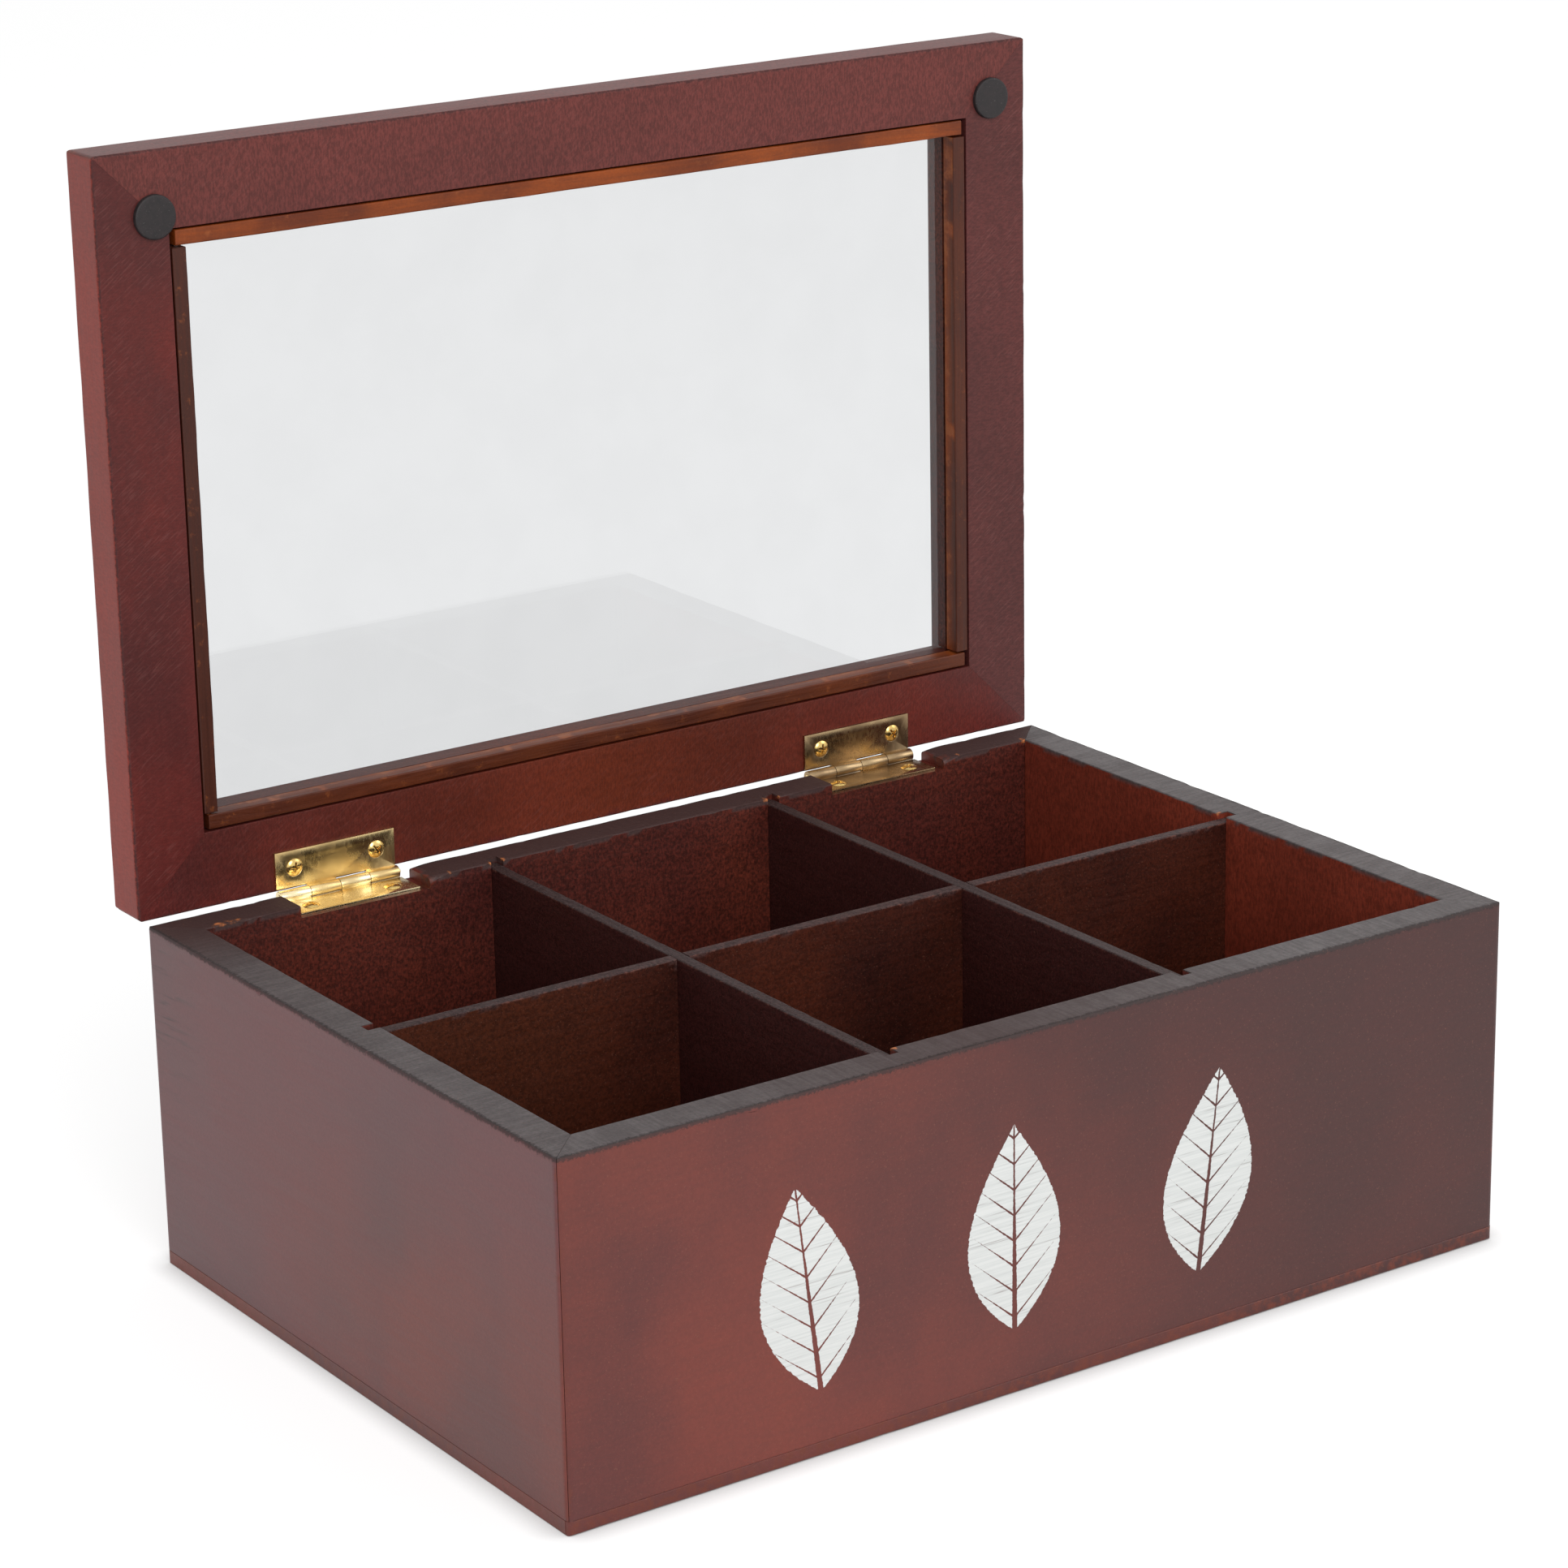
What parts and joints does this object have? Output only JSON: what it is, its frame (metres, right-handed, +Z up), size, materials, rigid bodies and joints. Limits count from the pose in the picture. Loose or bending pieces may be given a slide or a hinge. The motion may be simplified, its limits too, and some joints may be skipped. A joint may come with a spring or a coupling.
{
  "type": "tea bag organizer box",
  "caption": "Stained wooden tea bag box with divided compartments under a hinged lid that frames a glass pane, standing open on brass butt hinges.",
  "frame": {"origin": "centre of the underside of the base panel, in the plane that the box stands on", "axes": "+X to the right along the front, +Y from the front to the hinges, +Z up"},
  "size_m": [0.2408, 0.1803, 0.2446],
  "materials": {
    "stained_wood": "mahogany stain under a thin satin varnish",
    "stained_panel": "mahogany stain, matt",
    "bead_wood": "lighter orange-brown stain, satin",
    "window_glass": "clear float glass, polished",
    "bumper_rubber": "matt charcoal",
    "hinge_brass": "thin brass plating, lightly aged",
    "screw_brass": "bright brass plating"
  },
  "bodies": {
    "box": {"front_wall": "stained_wood", "rear_wall": "stained_wood", "left_wall": "stained_wood", "right_wall": "stained_wood", "base_panel": "stained_panel", "long_divider": "stained_panel", "short_divider_left": "stained_panel", "short_divider_right": "stained_panel", "hinge_left_box_leaf": "hinge_brass", "hinge_left_pin": "hinge_brass", "hinge_right_box_leaf": "hinge_brass", "hinge_right_pin": "hinge_brass", "box_hinge_screws": "screw_brass"},
    "lid": {"lid_front_rail": "stained_wood", "lid_rear_rail": "stained_wood", "lid_left_rail": "stained_wood", "lid_right_rail": "stained_wood", "glass_pane": "window_glass", "bead_front": "bead_wood", "bead_rear": "bead_wood", "bead_left": "bead_wood", "bead_right": "bead_wood", "bumper_left": "bumper_rubber", "bumper_right": "bumper_rubber", "hinge_left_lid_leaf": "hinge_brass", "hinge_right_lid_leaf": "hinge_brass", "lid_hinge_screws": "screw_brass"}
  },
  "joints": [
    {"name": "lid_hinge", "type": "hinge", "parent": "box", "child": "lid", "pos_m": [0, 0.08425, 0.0772], "axis": [-1, 0, 0], "range_deg": [-89.6, 100]}
  ]
}
